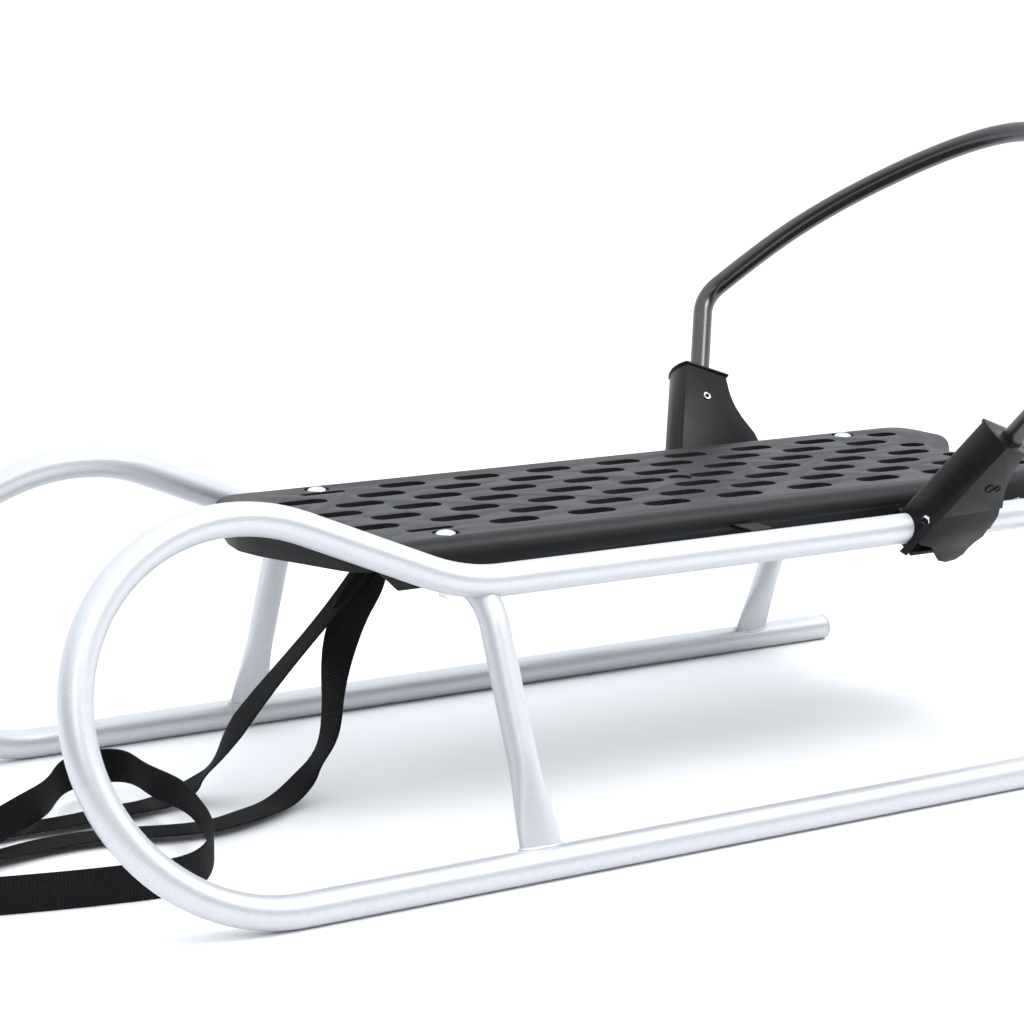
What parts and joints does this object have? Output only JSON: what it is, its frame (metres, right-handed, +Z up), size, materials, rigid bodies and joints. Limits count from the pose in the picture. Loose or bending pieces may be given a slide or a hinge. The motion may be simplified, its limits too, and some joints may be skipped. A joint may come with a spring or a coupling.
{
  "type": "child sled",
  "caption": "Tubular metal child sled with looped runners, slotted plastic seat, clamped-on push hoop and webbing tow strap.",
  "frame": {"origin": "on the floor, under the centre of the sled's box measured without the tow strap", "axes": "+Z up, -Y the way the sled travels, +X its left side"},
  "size_m": [0.4724, 0.9779, 0.4617],
  "materials": {
    "silver_paint": "satin silver paint",
    "seat_plastic": "grained matte black",
    "bracket_plastic": "satin black",
    "hoop_paint": "semi-gloss black",
    "plug_plastic": "moulded grey",
    "zinc": "bright zinc plate",
    "webbing": "black woven webbing"
  },
  "bodies": {
    "root": {"side_frame_left": "silver_paint", "side_frame_right": "silver_paint", "front_bow": "silver_paint", "rear_bow": "silver_paint", "runner_plug_left": "plug_plastic", "runner_plug_right": "plug_plastic", "rail_plug_left": "plug_plastic", "rail_plug_right": "plug_plastic", "seat_deck": "seat_plastic", "push_hoop": "hoop_paint", "bracket_left": "bracket_plastic", "bracket_right": "bracket_plastic", "bracket_cap_left": "bracket_plastic", "bracket_cap_right": "bracket_plastic", "clamp_jaw_left": "bracket_plastic", "clamp_jaw_right": "bracket_plastic", "strap_loop": "webbing", "tow_strap": "webbing", "seat_bolt_front_left": "zinc", "seat_nut_front_left": "zinc", "seat_bolt_front_right": "zinc", "seat_nut_front_right": "zinc", "seat_bolt_rear_left": "zinc", "seat_nut_rear_left": "zinc", "seat_bolt_rear_right": "zinc", "seat_nut_rear_right": "zinc"}
  },
  "joints": []
}
